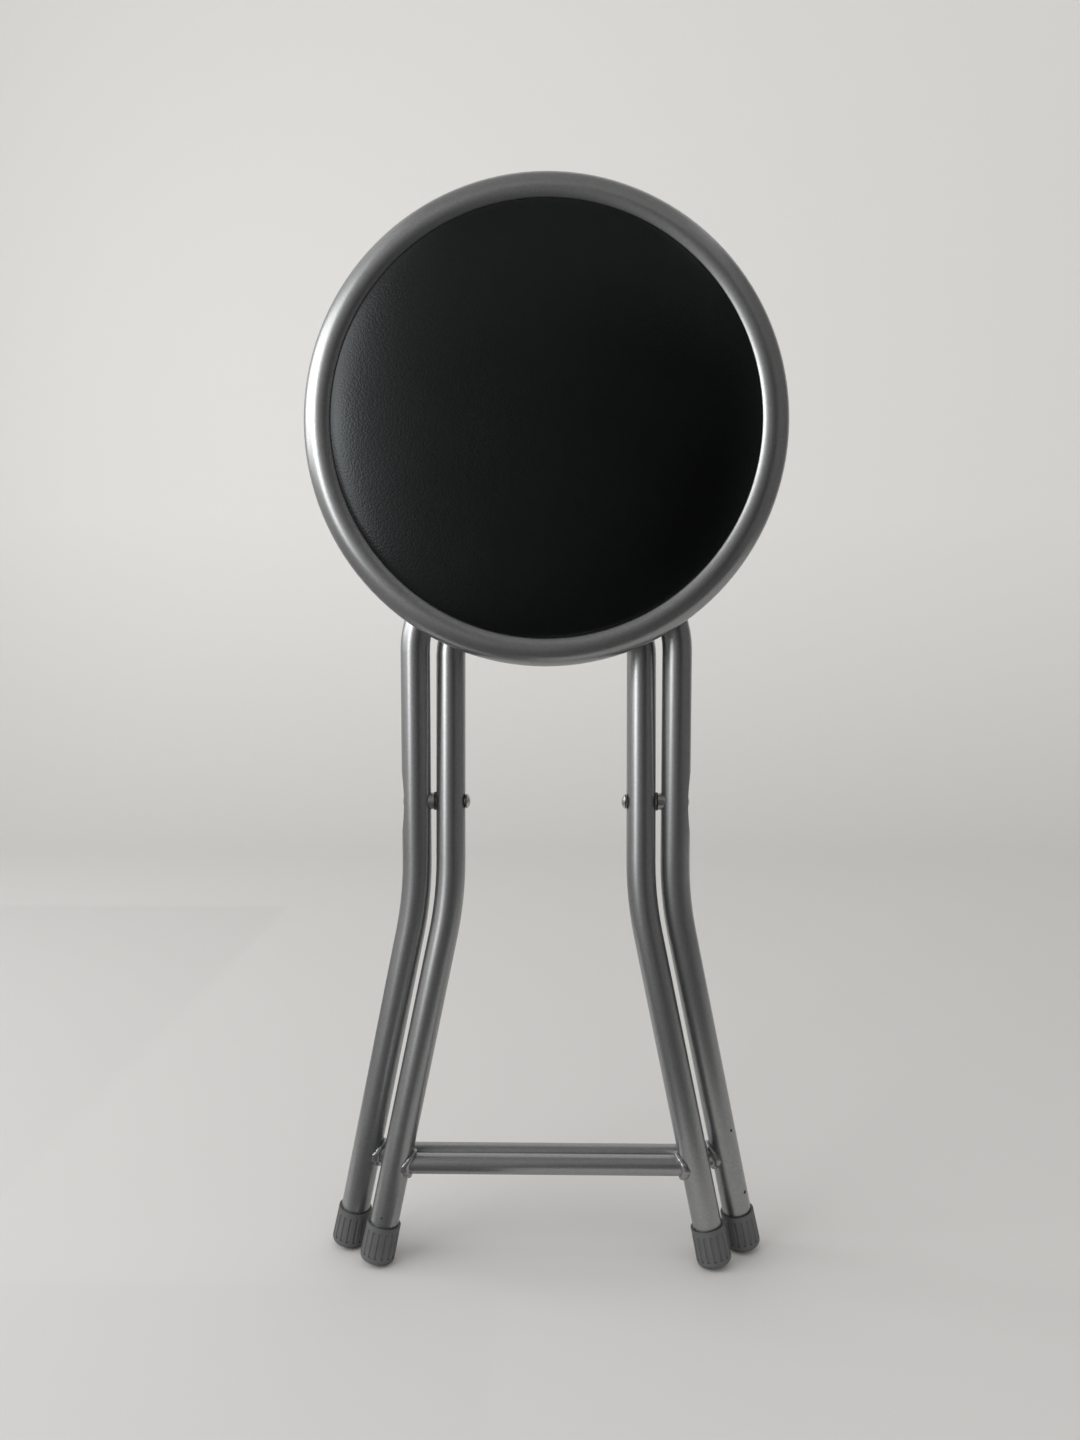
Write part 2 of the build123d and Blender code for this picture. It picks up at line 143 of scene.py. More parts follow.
def silver_lacquer():
    """Aluminium-flake lacquer, baked on steel tube."""
    finish, tree, shader, place = new_finish("steel_sprayed_silver_lacquer")
    flakes = add_node(tree, "ShaderNodeTexVoronoi", {"Vector": place, "Scale": cells(1.1)})
    clouds = add_node(tree, "ShaderNodeTexNoise", {"Vector": place, "Scale": cells(38), "Detail": 3.0})
    peel = add_node(tree, "ShaderNodeTexNoise", {"Vector": place, "Scale": cells(2.6), "Detail": 2.0})
    tone = add_node(tree, "ShaderNodeMix", {
        "Factor": flakes.outputs["Color"], "A": linear("#959697"), "B": linear("#9fa0a1"),
    }, data_type="RGBA")
    # The chips' edges are ragged: the peel noise shifts each point before its distance is measured.
    ragged = add_node(tree, "ShaderNodeVectorMath", {
        0: peel.outputs["Color"], 1: (CHIP_RAGGED,) * 3, 2: place,
    }, operation="MULTIPLY_ADD")
    worn = None
    for spot, radius in CHIPS:
        away = add_node(tree, "ShaderNodeVectorMath", {
            0: ragged.outputs["Vector"], 1: Vector(spot) + Vector((CHIP_RAGGED / 2,) * 3),
        }, operation="DISTANCE")
        chip = add_node(tree, "ShaderNodeMapRange", {
            "Value": away.outputs["Value"], "From Min": radius * MM, "From Max": radius * MM * CHIP_CORE,
        }, interpolation_type="SMOOTHSTEP")
        bare = chip.outputs["Result"]
        if worn is not None:
            bare = add_node(tree, "ShaderNodeMath", {0: worn, 1: bare}, operation="MAXIMUM").outputs[0]
        worn = bare
    colour = add_node(tree, "ShaderNodeMix", {
        "Factor": worn, "A": tone.outputs["Result"], "B": linear("#2b2826"),
    }, data_type="RGBA")
    rough = add_node(tree, "ShaderNodeMapRange", {
        "Value": clouds.outputs["Fac"], "To Min": 0.29, "To Max": 0.33,
    })
    skin = add_node(tree, "ShaderNodeBump", {
        "Height": peel.outputs["Fac"], "Strength": 0.012, "Distance": 0.1 * MM,
    })
    tree.links.new(colour.outputs["Result"], shader.inputs["Base Color"])
    tree.links.new(rough.outputs["Result"], shader.inputs["Roughness"])
    tree.links.new(skin.outputs["Normal"], shader.inputs["Normal"])
    shader.inputs["Metallic"].default_value = 0.9
    return finish


lacquer = silver_lacquer()
print("made", lacquer.name, "with", len(lacquer.node_tree.nodes), "nodes")

# %% [markdown]
# ## Black leatherette on the pad
# The cover is PVC pressed on a cloth backing with a pebble grain, about 0.8 mm from pebble to pebble.
# It is drawn at 1.3 mm so that it shows. PVC is smooth between the pebbles, so it has a soft sheen.
# The sheen's slight cool tint is painted in: it stands for the colour of cool daylight. A few specks of dust
# lie on it.

# %% Black leatherette


def leatherette():
    """Black PVC pressed with a fine pebble grain."""
    finish, tree, shader, place = new_finish("pvc_leatherette_pebble_grain_black")
    pebbles = add_node(tree, "ShaderNodeTexVoronoi", {
        "Vector": place, "Scale": cells(1.3), "Smoothness": 0.6,
    }, feature="SMOOTH_F1")
    creases = add_node(tree, "ShaderNodeTexNoise", {"Vector": place, "Scale": cells(4), "Detail": 4.0})
    rubbed = add_node(tree, "ShaderNodeTexNoise", {"Vector": place, "Scale": cells(55), "Detail": 2.0})
    tone = add_node(tree, "ShaderNodeMix", {
        "Factor": rubbed.outputs["Fac"], "A": linear("#030303"), "B": linear("#070708"),
    }, data_type="RGBA")
    # A speck of dust is the middle of a cell, and only a few cells have one.
    specks = add_node(tree, "ShaderNodeTexVoronoi", {"Vector": place, "Scale": cells(17)})
    rare = add_node(tree, "ShaderNodeMapRange", {
        "Value": specks.outputs["Color"], "From Min": 0.66, "From Max": 0.72,
    })
    near = add_node(tree, "ShaderNodeMapRange", {
        "Value": specks.outputs["Distance"], "From Min": 0.03, "From Max": 0.015,
    })
    dust = add_node(tree, "ShaderNodeMath", {
        0: rare.outputs["Result"], 1: near.outputs["Result"],
    }, operation="MULTIPLY")
    colour = add_node(tree, "ShaderNodeMix", {
        "Factor": dust.outputs[0], "A": tone.outputs["Result"], "B": linear("#8d8d8a"),
    }, data_type="RGBA")
    rough = add_node(tree, "ShaderNodeMapRange", {
        "Value": rubbed.outputs["Fac"], "To Min": 0.26, "To Max": 0.34,
    })
    low = add_node(tree, "ShaderNodeBump", {
        "Height": creases.outputs["Fac"], "Strength": 0.05, "Distance": 0.15 * MM,
    })
    grain = add_node(tree, "ShaderNodeBump", {
        "Height": pebbles.outputs["Distance"], "Strength": 0.36, "Distance": 0.2 * MM,
        "Normal": low.outputs["Normal"],
    }, invert=True)
    tree.links.new(colour.outputs["Result"], shader.inputs["Base Color"])
    tree.links.new(rough.outputs["Result"], shader.inputs["Roughness"])
    tree.links.new(grain.outputs["Normal"], shader.inputs["Normal"])
    shader.inputs["IOR"].default_value = 1.53
    shader.inputs["Specular IOR Level"].default_value = 0.33
    # Painted light: the cool specular tint gives the sheen the colour of cool daylight.
    shader.inputs["Specular Tint"].default_value = linear("#f4fcff")
    return finish


black_cover = leatherette()
print("made", black_cover.name, "with", len(black_cover.node_tree.nodes), "nodes")

# %% [markdown]
# ## Grey PVC foot caps
# The caps are soft PVC, moulded and pushed over the tube ends. The mould leaves them dull and slightly
# mottled. The floor scuffs them, so a map of height darkens the last 5 mm above the sole.
# Shade is painted between the ribs: an ambient occlusion node finds places that are shut in within 3 mm and
# darkens them.

# %% Grey PVC


def moulded_cap():
    """Grey soft PVC, moulded, scuffed near the floor, with shade painted between its ribs."""
    finish, tree, shader, place = new_finish("soft_pvc_moulded_grey")
    mottle = add_node(tree, "ShaderNodeTexNoise", {"Vector": place, "Scale": cells(6), "Detail": 4.0})
    height = add_node(tree, "ShaderNodeSeparateXYZ", {0: place})
    scuff = add_node(tree, "ShaderNodeMapRange", {
        "Value": height.outputs["Z"], "From Min": 5 * MM, "From Max": 0.0, "To Max": 0.7,
    })
    plain = add_node(tree, "ShaderNodeMix", {
        "Factor": mottle.outputs["Fac"], "A": linear("#4e4f50"), "B": linear("#5e5f60"),
    }, data_type="RGBA")
    dirty = add_node(tree, "ShaderNodeMix", {
        "Factor": scuff.outputs["Result"], "A": plain.outputs["Result"], "B": linear("#33322f"),
    }, data_type="RGBA")
    # Painted shade: places shut in between the ribs are darkened towards #2c2c2c.
    shut_in = add_node(tree, "ShaderNodeAmbientOcclusion", {"Distance": 3 * MM}, samples=8)
    painted_rib_shade = add_node(tree, "ShaderNodeMapRange", {
        "Value": shut_in.outputs["AO"], "From Min": 0.95, "From Max": 0.6, "To Max": 0.8,
    })
    tone_with_rib_shade = add_node(tree, "ShaderNodeMix", {
        "Factor": painted_rib_shade.outputs["Result"], "A": dirty.outputs["Result"], "B": linear("#2c2c2c"),
    }, data_type="RGBA")
    rough = add_node(tree, "ShaderNodeMapRange", {
        "Value": mottle.outputs["Fac"], "To Min": 0.45, "To Max": 0.6,
    })
    fine = add_node(tree, "ShaderNodeTexNoise", {"Vector": place, "Scale": cells(1.2), "Detail": 2.0})
    skin = add_node(tree, "ShaderNodeBump", {
        "Height": fine.outputs["Fac"], "Strength": 0.2, "Distance": 0.1 * MM,
    })
    tree.links.new(tone_with_rib_shade.outputs["Result"], shader.inputs["Base Color"])
    tree.links.new(rough.outputs["Result"], shader.inputs["Roughness"])
    tree.links.new(skin.outputs["Normal"], shader.inputs["Normal"])
    shader.inputs["IOR"].default_value = 1.5
    return finish


cap_grey = moulded_cap()
print("made", cap_grey.name, "with", len(cap_grey.node_tree.nodes), "nodes")

# %% [markdown]
# ## Black nylon
# Washers and catches are nylon, moulded black: half matt, with a faint texture from the spark-eroded
# mould. It is a few hundredths of a millimetre in truth and is drawn at 1.4 mm, so that it shows.

# %% Black nylon


def moulded_nylon():
    """Black nylon, moulded, with a faint texture from the mould."""
    finish, tree, shader, place = new_finish("nylon_moulded_black")
    mould = add_node(tree, "ShaderNodeTexNoise", {"Vector": place, "Scale": cells(1.4), "Detail": 3.0})
    tone = add_node(tree, "ShaderNodeMix", {
        "Factor": mould.outputs["Fac"], "A": linear("#111111"), "B": linear("#1c1c1c"),
    }, data_type="RGBA")
    rough = add_node(tree, "ShaderNodeMapRange", {
        "Value": mould.outputs["Fac"], "To Min": 0.35, "To Max": 0.55,
    })
    tree.links.new(tone.outputs["Result"], shader.inputs["Base Color"])
    tree.links.new(rough.outputs["Result"], shader.inputs["Roughness"])
    shader.inputs["IOR"].default_value = 1.53
    return finish


nylon = moulded_nylon()
print("made", nylon.name, "with", len(nylon.node_tree.nodes), "nodes")

# %% [markdown]
# ## Zinc-plated steel
# Rivets, screws and staples are steel with a thin coat of zinc. Fresh zinc is bright, and then a dull
# bloom grows on it in patches, so tone and roughness follow the same noise.

# %% Zinc plate


def zinc_plate():
    """Bright zinc on steel, with a mottled bloom."""
    finish, tree, shader, place = new_finish("steel_zinc_plated")
    bloom = add_node(tree, "ShaderNodeTexNoise", {"Vector": place, "Scale": cells(2.5), "Detail": 4.0})
    tone = add_node(tree, "ShaderNodeMix", {
        "Factor": bloom.outputs["Fac"], "A": linear("#b2b1ae"), "B": linear("#d2d1ce"),
    }, data_type="RGBA")
    rough = add_node(tree, "ShaderNodeMapRange", {
        "Value": bloom.outputs["Fac"], "To Min": 0.22, "To Max": 0.4,
    })
    tree.links.new(tone.outputs["Result"], shader.inputs["Base Color"])
    tree.links.new(rough.outputs["Result"], shader.inputs["Roughness"])
    shader.inputs["Metallic"].default_value = 1.0
    return finish


zinc = zinc_plate()
print("made", zinc.name, "with", len(zinc.node_tree.nodes), "nodes")

# %% [markdown]
# ## Pressed fibreboard
# The board under the pad is wood fibre pressed flat. Its flecks lie along the sheet, so the pattern is
# stretched one way, and a few darker bits of bark show.

# %% Fibreboard
FLECK_STRETCH = (0.35, 1.0, 1.0)


def fibreboard():
    """Pressed wood fibre, with flecks and a few dark bits of bark."""
    finish, tree, shader, place = new_finish("wood_fibreboard_pressed")
    stretched = add_node(tree, "ShaderNodeMapping", {"Vector": place, "Scale": FLECK_STRETCH})
    along = stretched.outputs["Vector"]
    fibres = add_node(tree, "ShaderNodeTexNoise", {
        "Vector": along, "Scale": cells(1.6), "Detail": 5.0, "Roughness": 0.65,
    })
    bark = add_node(tree, "ShaderNodeTexVoronoi", {"Vector": along, "Scale": cells(5)})
    tone = add_node(tree, "ShaderNodeMix", {
        "Factor": fibres.outputs["Fac"], "A": linear("#6f5138"), "B": linear("#a5825c"),
    }, data_type="RGBA")
    dark = add_node(tree, "ShaderNodeMapRange", {
        "Value": bark.outputs["Distance"], "From Min": 0.2, "From Max": 0.08, "To Max": 0.6,
    })
    colour = add_node(tree, "ShaderNodeMix", {
        "Factor": dark.outputs["Result"], "A": tone.outputs["Result"], "B": linear("#4a3222"),
    }, data_type="RGBA")
    skin = add_node(tree, "ShaderNodeBump", {
        "Height": fibres.outputs["Fac"], "Strength": 0.3, "Distance": 0.15 * MM,
    })
    tree.links.new(colour.outputs["Result"], shader.inputs["Base Color"])
    tree.links.new(skin.outputs["Normal"], shader.inputs["Normal"])
    shader.inputs["Roughness"].default_value = 0.75
    return finish


board_brown = fibreboard()
print("made", board_brown.name, "with", len(board_brown.node_tree.nodes), "nodes")

# %% [markdown]
# ## Finishes on the solids
# The record says which finish slot each solid takes, so the finishes go on by slot.
# The CAD meshes themselves aren't touched: only their material slots change.

# %% Dress the solids
slot_finish = {
    "painted_tube": lacquer,
    "bracket_steel": lacquer,
    "zinc_steel": zinc,
    "cap_plastic": cap_grey,
    "black_nylon": nylon,
    "leatherette": black_cover,
    "foam": black_cover,
    "board": board_brown,
}
for entry in frame["record"]["subparts"]:
    solid = frame["nodes"][entry["node"]]
    solid.data.materials.clear()
    solid.data.materials.append(slot_finish[entry["material_slot"]])

# %% [markdown]
# ## The pad
# Foam on a board, under a cover that is pulled tight: nearly flat in the middle, and rounded off towards
# the ring. A turned outline gives the shape a little flatter than the real pad. It has a crown, a lip, an
# arc that stays 0.3 mm clear of the ring's tube, and a flat underside on the board.

# %% Pad outline
ring_low, ring_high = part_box("seat_ring")
ring_middle = (ring_low + ring_high) / 2
RING_TUBE = (ring_high.y - ring_low.y) / 2
RING_RADIUS = (ring_high.x - ring_low.x) / 2 - RING_TUBE
RING_GAP = RING_TUBE + 0.3 * MM
SEAT = Matrix.Translation(ring_middle) @ Matrix.Rotation(math.radians(90), 4, "X")

# Radii and heights of the pad in millimetres, from the ring's middle.
PAD_RADIUS = 131
CROWN_HEIGHT = 17.2
CROWN_FALL = 7.5
CROWN_SHARPNESS = 9
LIP_PATH = [(129.7, 10.3), (130.7, 9.7), (131.2, 9.2)]
UNDER_RADIUS = 126.2
UNDER_HEIGHT = -1.6


def pad_outline():
    """Half outline of the pad before it swells, as radius and height in metres."""
    crown = []
    for radius in range(0, 129, 4):
        fall = CROWN_FALL * (radius / PAD_RADIUS) ** CROWN_SHARPNESS
        crown.append((radius * MM, (CROWN_HEIGHT - fall) * MM))
    lip = [(radius * MM, height * MM) for radius, height in LIP_PATH]
    turns = [math.radians(turn) for turn in range(51, 0, -8)]
    arc = [(RING_RADIUS - RING_GAP * math.cos(t), RING_GAP * math.sin(t)) for t in turns]
    under = [(UNDER_RADIUS * MM, UNDER_HEIGHT * MM), (0.0, UNDER_HEIGHT * MM)]
    return crown + lip + arc + under


def turned(name, outline, steps=160):
    """Closed mesh made by turning a half outline about the seat's middle."""
    shape = bmesh.new()
    turns = [2 * math.pi * step / steps for step in range(steps)]
    rings = []
    for radius, height in outline:
        if radius == 0:
            places = [(0, 0, height)]
        else:
            places = [(radius * math.cos(t), radius * math.sin(t), height) for t in turns]
        rings.append([shape.verts.new(place) for place in places])
    for upper, lower in zip(rings, rings[1:]):
        for step in range(steps):
            after = (step + 1) % steps
            corners = [
                upper[step % len(upper)], lower[step % len(lower)],
                lower[after % len(lower)], upper[after % len(upper)],
            ]
            shape.faces.new(list(dict.fromkeys(corners)))
    bmesh.ops.recalc_face_normals(shape, faces=shape.faces)
    mesh = bpy.data.meshes.new(name)
    shape.to_mesh(mesh)
    shape.free()
    piece = bpy.data.objects.new(name, mesh)
    scene.collection.objects.link(piece)
    return piece


pad = turned("seat_pad", pad_outline())
print("pad outline turned:", len(pad.data.vertices), "points; ring radius", round(RING_RADIUS, 4))

# %% [markdown]
# ## Swelling the pad
# Cloth with air pressure swells the pad as foam does. Cloth likes even squares better than the long wedges
# of a turned shape, so a copy of the pad is remeshed in voxels first. Its rim and underside are held, as the
# board and the staples hold them, and no point may move more than 6 mm. PVC on a cloth backing is stiff, so
# it gets stiffer springs than plain cloth and stays smooth.

# %% Cloth copy
CLOTH_SQUARE = 4 * MM
HELD_BELOW = 9 * MM
CROWN_REACH = 114 * MM
LIP_REACH = 127 * MM
AIR_PRESSURE = 3.4
CLOTH_STEPS = 20
LARGEST_MOVE = 6 * MM


def baked(piece):
    """Swaps a piece's mesh for what its modifiers make of it, and takes them off."""
    ready = bpy.data.meshes.new_from_object(piece.evaluated_get(bpy.context.evaluated_depsgraph_get()))
    piece.modifiers.clear()
    piece.data = ready


def reach(vertex):
    """How far a point of the pad is from the pad's axis."""
    return math.hypot(vertex.co.x, vertex.co.y)


def swollen_copy(piece):
    """A copy of the pad as even squares of cloth, blown up by air pressure while its rim is held."""
    copy = bpy.data.objects.new("swollen_cloth", piece.data.copy())
    scene.collection.objects.link(copy)
    remesh = copy.modifiers.new("even_squares", "REMESH")
    remesh.mode = "VOXEL"
    remesh.voxel_size = CLOTH_SQUARE
    baked(copy)
    held = copy.vertex_groups.new(name="held")
    rim = [v.index for v in copy.data.vertices if v.co.z < HELD_BELOW or reach(v) > LIP_REACH]
    held.add(rim, 1.0, "REPLACE")
    start = [v.co.copy() for v in copy.data.vertices]
    cloth = copy.modifiers.new("cover", "CLOTH")
    cloth.settings.use_pressure = True
    cloth.settings.uniform_pressure_force = AIR_PRESSURE
    cloth.settings.effector_weights.gravity = 0.0
    cloth.settings.vertex_group_mass = "held"
    cloth.settings.tension_stiffness = 20.0
    cloth.settings.compression_stiffness = 20.0
    cloth.settings.shear_stiffness = 10.0
    cloth.settings.bending_stiffness = 40.0
    cloth.settings.air_damping = 10.0
    for step in range(1, CLOTH_STEPS + 1):
        scene.frame_set(step)
    baked(copy)
    scene.frame_set(1)
    moves = [vertex.co - before for vertex, before in zip(copy.data.vertices, start)]
    for vertex, before, move in zip(copy.data.vertices, start, moves):
        vertex.co = before + move * min(1.0, LARGEST_MOVE / max(move.length, MM))
    print("the cloth moved up to", round(max(move.length for move in moves) / MM, 2), "mm")
    return copy


# %% [markdown]
# The turned pad is then drawn up onto that copy along its axis: wholly on the crown, and less and less
# towards the lip, which stays round. A little smoothing pulls the cover tight.

# %% Draw the pad onto the cloth
TIGHTENING = 60

swollen = swollen_copy(pad)
crown = pad.vertex_groups.new(name="crown")
for vertex in pad.data.vertices:
    share = (LIP_REACH - reach(vertex)) / (LIP_REACH - CROWN_REACH)
    if vertex.co.z > HELD_BELOW and share > 0:
        crown.add([vertex.index], min(1.0, share), "REPLACE")
drawn = pad.modifiers.new("drawn_onto_cloth", "SHRINKWRAP")
drawn.target = swollen
drawn.wrap_method = "PROJECT"
drawn.use_project_z = True
drawn.use_positive_direction = True
drawn.use_negative_direction = True
drawn.vertex_group = "crown"
tight = pad.modifiers.new("pulled_tight", "SMOOTH")
tight.iterations = TIGHTENING
tight.vertex_group = "crown"
baked(pad)
bpy.data.objects.remove(swollen)

# %% [markdown]
# The pad now turns to face the front and gets its finish.
# It stands for the foam and for the cover of the CAD model.

# %% Seat the pad
pad.data.transform(SEAT)
for face in pad.data.polygons:
    face.use_smooth = True
pad.data.materials.clear()
pad.data.materials.append(black_cover)
smooth = pad.modifiers.new("smooth", "SUBSURF")
smooth.levels = 1
smooth.render_levels = 1
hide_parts("seat_foam", "seat_cover")
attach(pad, "seat")
pad_heights = [ring_middle.y - v.co.y for v in pad.data.vertices]
print("the pad stands", round(max(pad_heights) / MM, 1), "mm above the ring's middle")

# %% [markdown]
# ## The cover's gathered hem
# Behind the seat the cover is pulled over the board's edge and stapled down, and its spare cloth gathers
# in pleats. Pleats grow from nothing at the board's edge to about a millimetre at the cut edge, which
# wanders a little. A sheet of points follows that path, left open where the two rails bear on the board.

# %% Gathered hem
rail_low, rail_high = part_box("seat_rail_right")
RAIL_MIDDLE = (rail_low.x + rail_high.x) / 2
RAIL_HALF = (rail_high.x - rail_low.x) / 2 + 0.3 * MM

# Radii and heights in millimetres from the ring's middle, over the board's edge and then along its back.
HEM_PATH = [
    (126.5, 3.0), (126.65, 0.0), (126.65, -4.0), (126.6, -6.6), (126.3, -7.9), (125.5, -8.4),
    (123.5, -8.5), (121.0, -8.5), (118.5, -8.5), (116.0, -8.5), (113.5, -8.5), (111.2, -8.5),
]
HEM_FOLD = 126.0
HEM_TURNED_IN = 15
HEM_STEPS = 720
PLEATS = 64
PLEAT_WIDTH = 0.02
PLEAT_HEIGHT = 1.1
CUT_WANDER = 1.6
UNDER_BOARD = -7 * MM


def pleat_lift(turn, pleats):
    """Share of a pleat's full height at a turn round the seat."""
    lift = 0.0
    for middle, height in pleats:
        away = (turn - middle + math.pi) % (2 * math.pi) - math.pi
        lift = max(lift, height * math.exp(-(away / PLEAT_WIDTH) ** 2))
    return lift


def gathered_hem():
    """Open sheet round the board's edge, pleated towards its cut edge."""
    chance = random.Random(7)
    pleats = [(2 * math.pi * (k + chance.uniform(-0.3, 0.3)) / PLEATS, chance.uniform(0.4, 1.0))
              for k in range(PLEATS)]
    shape = bmesh.new()
    grid = []
    for step in range(HEM_STEPS):
        turn = 2 * math.pi * step / HEM_STEPS
        lift = pleat_lift(turn, pleats)
        row = []
        for radius, height in HEM_PATH:
            share = max(0.0, (HEM_FOLD - radius) / HEM_TURNED_IN)
            wander = noise.noise(Vector((math.cos(turn), math.sin(turn), 0.3)) * 6)
            spread = (radius + CUT_WANDER * share * wander) * MM
            level = (height - PLEAT_HEIGHT * lift * share) * MM
            row.append(shape.verts.new((spread * math.cos(turn), spread * math.sin(turn), level)))
        grid.append(row)
    for step in range(HEM_STEPS):
        after = grid[(step + 1) % HEM_STEPS]
        for place in range(len(HEM_PATH) - 1):
            shape.faces.new((grid[step][place], after[place], after[place + 1], grid[step][place + 1]))
    under_rails = [f for f in shape.faces if f.calc_center_median().z < UNDER_BOARD
                   and abs(abs(f.calc_center_median().x) - RAIL_MIDDLE) < RAIL_HALF]
    bmesh.ops.delete(shape, geom=under_rails, context="FACES")
    mesh = bpy.data.meshes.new("cover_hem")
    shape.to_mesh(mesh)
    shape.free()
    mesh.transform(SEAT)
    for face in mesh.polygons:
        face.use_smooth = True
    mesh.materials.append(black_cover)
    piece = bpy.data.objects.new("cover_hem", mesh)
    scene.collection.objects.link(piece)
    return piece


hem = gathered_hem()
thick = hem.modifiers.new("cloth_thickness", "SOLIDIFY")
thick.thickness = 0.7 * MM
thick.offset = -1.0
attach(hem, "seat")

# %% [markdown]
# ## Welds
# Each crossbar is welded to its legs, and the bead is lumpy where drops of steel froze one over another.
# The CAD model has a plain collar there. A copy of it is remeshed finely, rounded, and rippled round the bar.

# %% Weld beads
BEAD_SQUARE = 0.55 * MM
BEAD_ROUNDING = 12
LUMP_SIZE_MM = 4.5
RIPPLES = 13
RIPPLE_SLANT = 40


def weld_piece(name, node, body):
    """Rippled weld beads in place of a node's plain collars."""
    piece = bpy.data.objects.new(name, frame["nodes"][node].data.copy())
    scene.collection.objects.link(piece)
    fine = piece.modifiers.new("fine", "REMESH")
    fine.mode = "VOXEL"
    fine.voxel_size = BEAD_SQUARE
    soft = piece.modifiers.new("soft", "SMOOTH")
    soft.iterations = BEAD_ROUNDING
    baked(piece)
    low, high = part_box(node)
    middle = (low + high) / 2
    moves = []
    for vertex in piece.data.vertices:
        turn = math.atan2(vertex.co.z - middle.z, vertex.co.y - middle.y)
        ripple = math.sin(RIPPLES * turn + RIPPLE_SLANT * vertex.co.x)
        lumps = noise.noise(vertex.co * cells(LUMP_SIZE_MM)) * 0.3 + 0.1 * ripple
        moves.append(vertex.normal * (0.3 + lumps) * MM)
    for vertex, move in zip(piece.data.vertices, moves):
        vertex.co += move
    for face in piece.data.polygons:
        face.use_smooth = True
    piece.data.materials.clear()
    piece.data.materials.append(lacquer)
    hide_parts(node)
    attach(piece, body)
    return piece


for name, node, body in (("outer_welds", "outer_weld_beads", "outer_frame"),
                         ("inner_welds", "inner_weld_beads", "inner_frame")):
    beads = weld_piece(name, node, body)
    print(name, "has", len(beads.data.polygons), "faces")

# %% [markdown]
# ## Floor and backdrop
# The stool stands on a pale paper sweep: a floor that curves up behind it, with no edge to see.
# A wide round cove, which only the camera meets, closes the room for views from other sides.
# The paper's tone follows the height: pale grey on the floor, where shade is painted in, and white where it
# hangs.

# %% Paper
PAPER_WHITE_AT = 0.7


def paper():
    """Matt paper, pale grey where it is the floor and white where it hangs."""
    finish, tree, shader, place = new_finish("paper_sweep_pale")
    level = add_node(tree, "ShaderNodeSeparateXYZ", {0: place})
    hung = add_node(tree, "ShaderNodeMapRange", {"Value": level.outputs["Z"], "From Max": PAPER_WHITE_AT})
    # Painted shade: the floor's part of the paper is painted greyer than the part that hangs.
    tone = add_node(tree, "ShaderNodeMix", {
        "Factor": hung.outputs["Result"], "A": linear("#d0cecd"), "B": linear("#f0efed"),
    }, data_type="RGBA")
    tree.links.new(tone.outputs["Result"], shader.inputs["Base Color"])
    shader.inputs["Roughness"].default_value = 0.8
    return finish


white_paper = paper()
print("made", white_paper.name, "with", len(white_paper.node_tree.nodes), "nodes")

# %% Sweep and cove
SWEEP_HALF = 12.0
SWEEP_BEND_AT = 1.3
SWEEP_BEND = 0.7
SWEEP_TOP = 3.2
COVE_REACH = 7.0
COVE_BEND = 2.5
COVE_TOP = 14.0


def stage_sheet(name, rows, finish):
    """A sheet of the studio through rows of points."""
    points = [point for row in rows for point in row]
    width = len(rows[0])
    faces = [(r * width + c, r * width + c + 1, (r + 1) * width + c + 1, (r + 1) * width + c)
             for r in range(len(rows) - 1) for c in range(width - 1)]
    mesh = bpy.data.meshes.new(name)
    mesh.from_pydata(points, [], faces)
    for face in mesh.polygons:
        face.use_smooth = True
    mesh.materials.append(finish)
    sheet = bpy.data.objects.new(name, mesh)
    scene.collection.objects.link(sheet)
    return sheet


def bend(start, radius, first):
    """Quarter bend from level to upright, as distances and heights, in steps of 6 degrees."""
    angles = [math.radians(a) for a in range(first, 91, 6)]
    return [(start + radius * math.sin(a), radius - radius * math.cos(a)) for a in angles]


sweep = [(-SWEEP_HALF, 0.0), (SWEEP_BEND_AT, 0.0)] + bend(SWEEP_BEND_AT, SWEEP_BEND, 6)
sweep += [(SWEEP_BEND_AT + SWEEP_BEND, SWEEP_TOP)]
stage_sheet("paper_sweep", [[(x, y, z) for x in (-SWEEP_HALF, SWEEP_HALF)] for y, z in sweep], white_paper)

cove = bend(COVE_REACH, COVE_BEND, 0) + [(COVE_REACH + COVE_BEND, COVE_TOP)]
turns = [math.radians(a) for a in range(0, 361, 6)]
cove_rows = [[(r * math.cos(t), r * math.sin(t), z) for t in turns] for r, z in cove]
far_cove = stage_sheet("far_cove", cove_rows, white_paper)
far_cove.visible_diffuse = False
far_cove.visible_glossy = False
far_cove.visible_shadow = False
print("paper sweep with", len(sweep), "rows and far cove with", len(cove), "rows")

# %% [markdown]
# ## Grey cards
# A satin tube is a mirror of its room, so what stands round it draws its bands of light and dark.
# Grey cards in front, above, at the right and on the floor are what the tubes and the pad reflect.
# The front one grows darker to the right, so the pad's sheen fades the same way.
# Only reflections meet the cards, so they neither show on the paper nor shade it.

# %% Cards
CARD_FRONT = -1.7
CARD_BACK = 0.9
CARD_RIGHT = 1.3
CARD_FLOOR = 0.001
FRONT_TOP = 1.35
CEILING = 2.6
RIGHT_TOP = 2.2
FADE_FROM = -0.6
FADE_TO = 0.55


